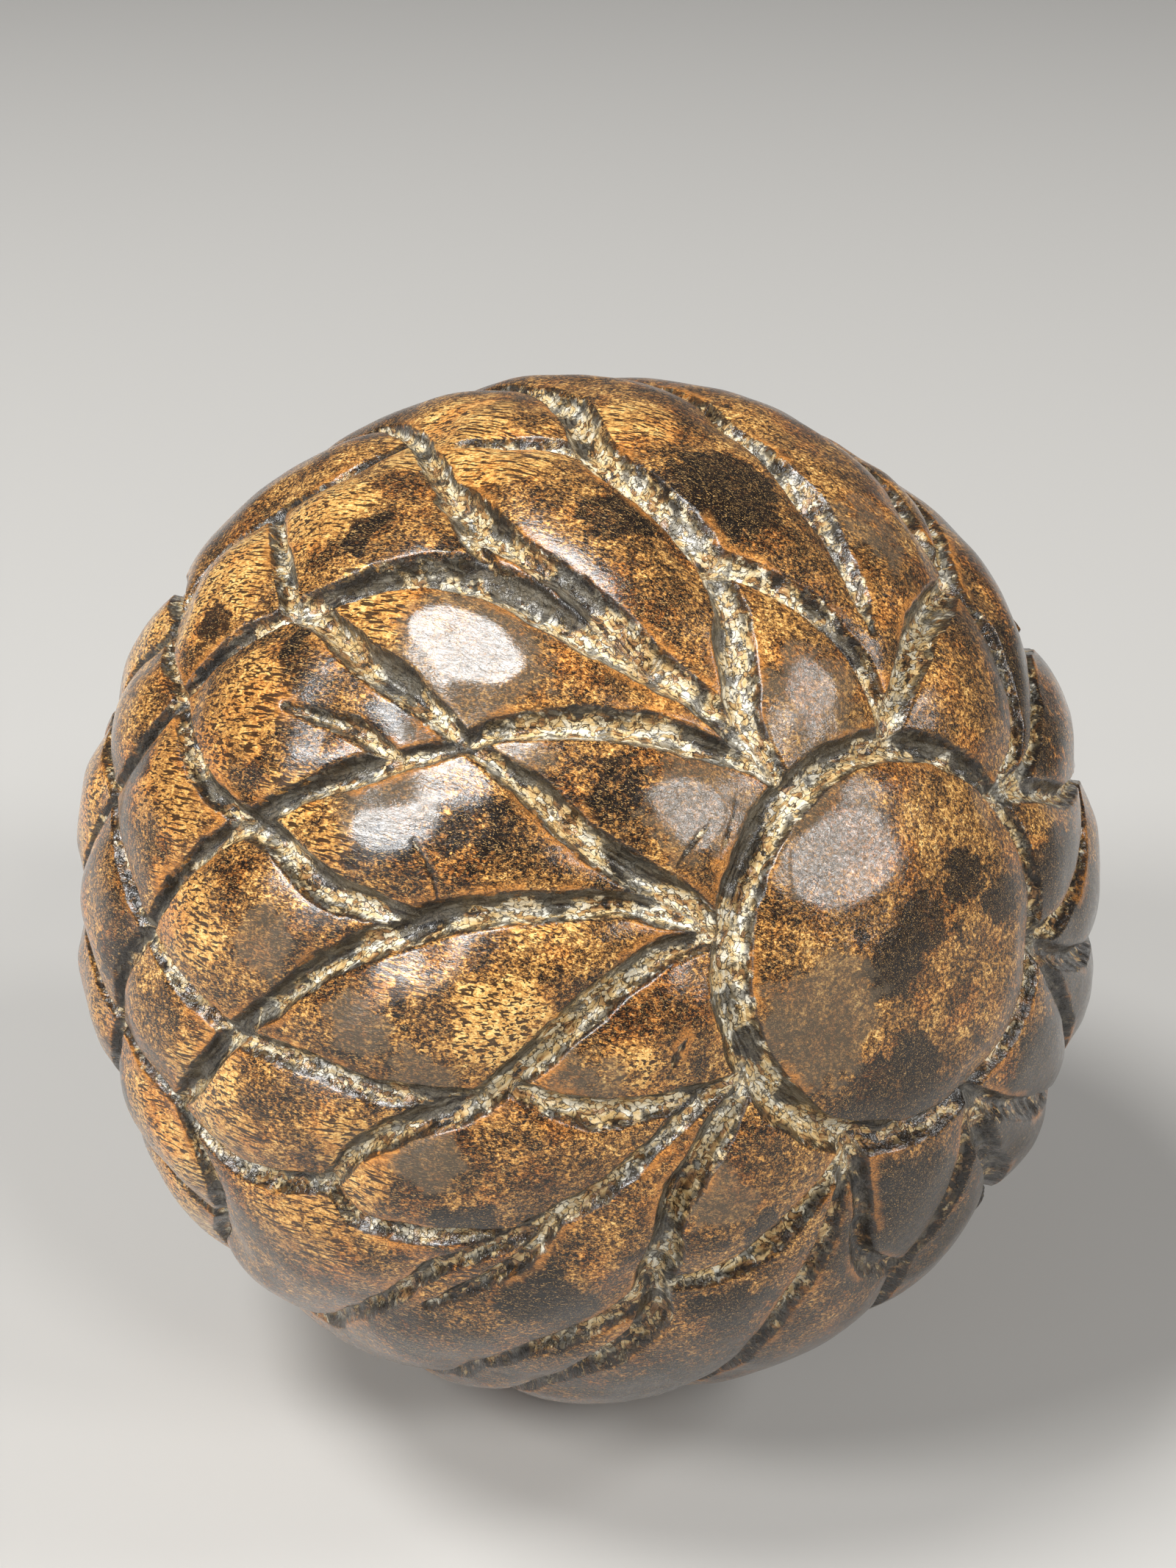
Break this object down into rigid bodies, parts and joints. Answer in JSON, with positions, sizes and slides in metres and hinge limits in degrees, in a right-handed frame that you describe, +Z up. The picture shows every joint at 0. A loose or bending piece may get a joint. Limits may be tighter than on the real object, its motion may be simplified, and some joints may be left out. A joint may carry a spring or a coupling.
{
  "type": "croquet ball",
  "caption": "Solid wooden croquet ball, hand-carved all over with gouged, overlapping pointed petals that spread from a round raised boss, stained dark and worn to a golden polish",
  "frame": {"origin": "centre of the ball", "axes": "+Z up; -Y faces the viewer, +X to the viewer's right; the centre of the front boss points 35 degrees from -Y towards +X and 19 degrees up"},
  "size_m": [0.0915, 0.0914, 0.0912],
  "materials": {
    "stained_wood": "dark stain rubbed back on the high petals, clear semi-gloss polish over open grain"
  },
  "bodies": {
    "root": {"carved_ball": "stained_wood"}
  },
  "joints": []
}
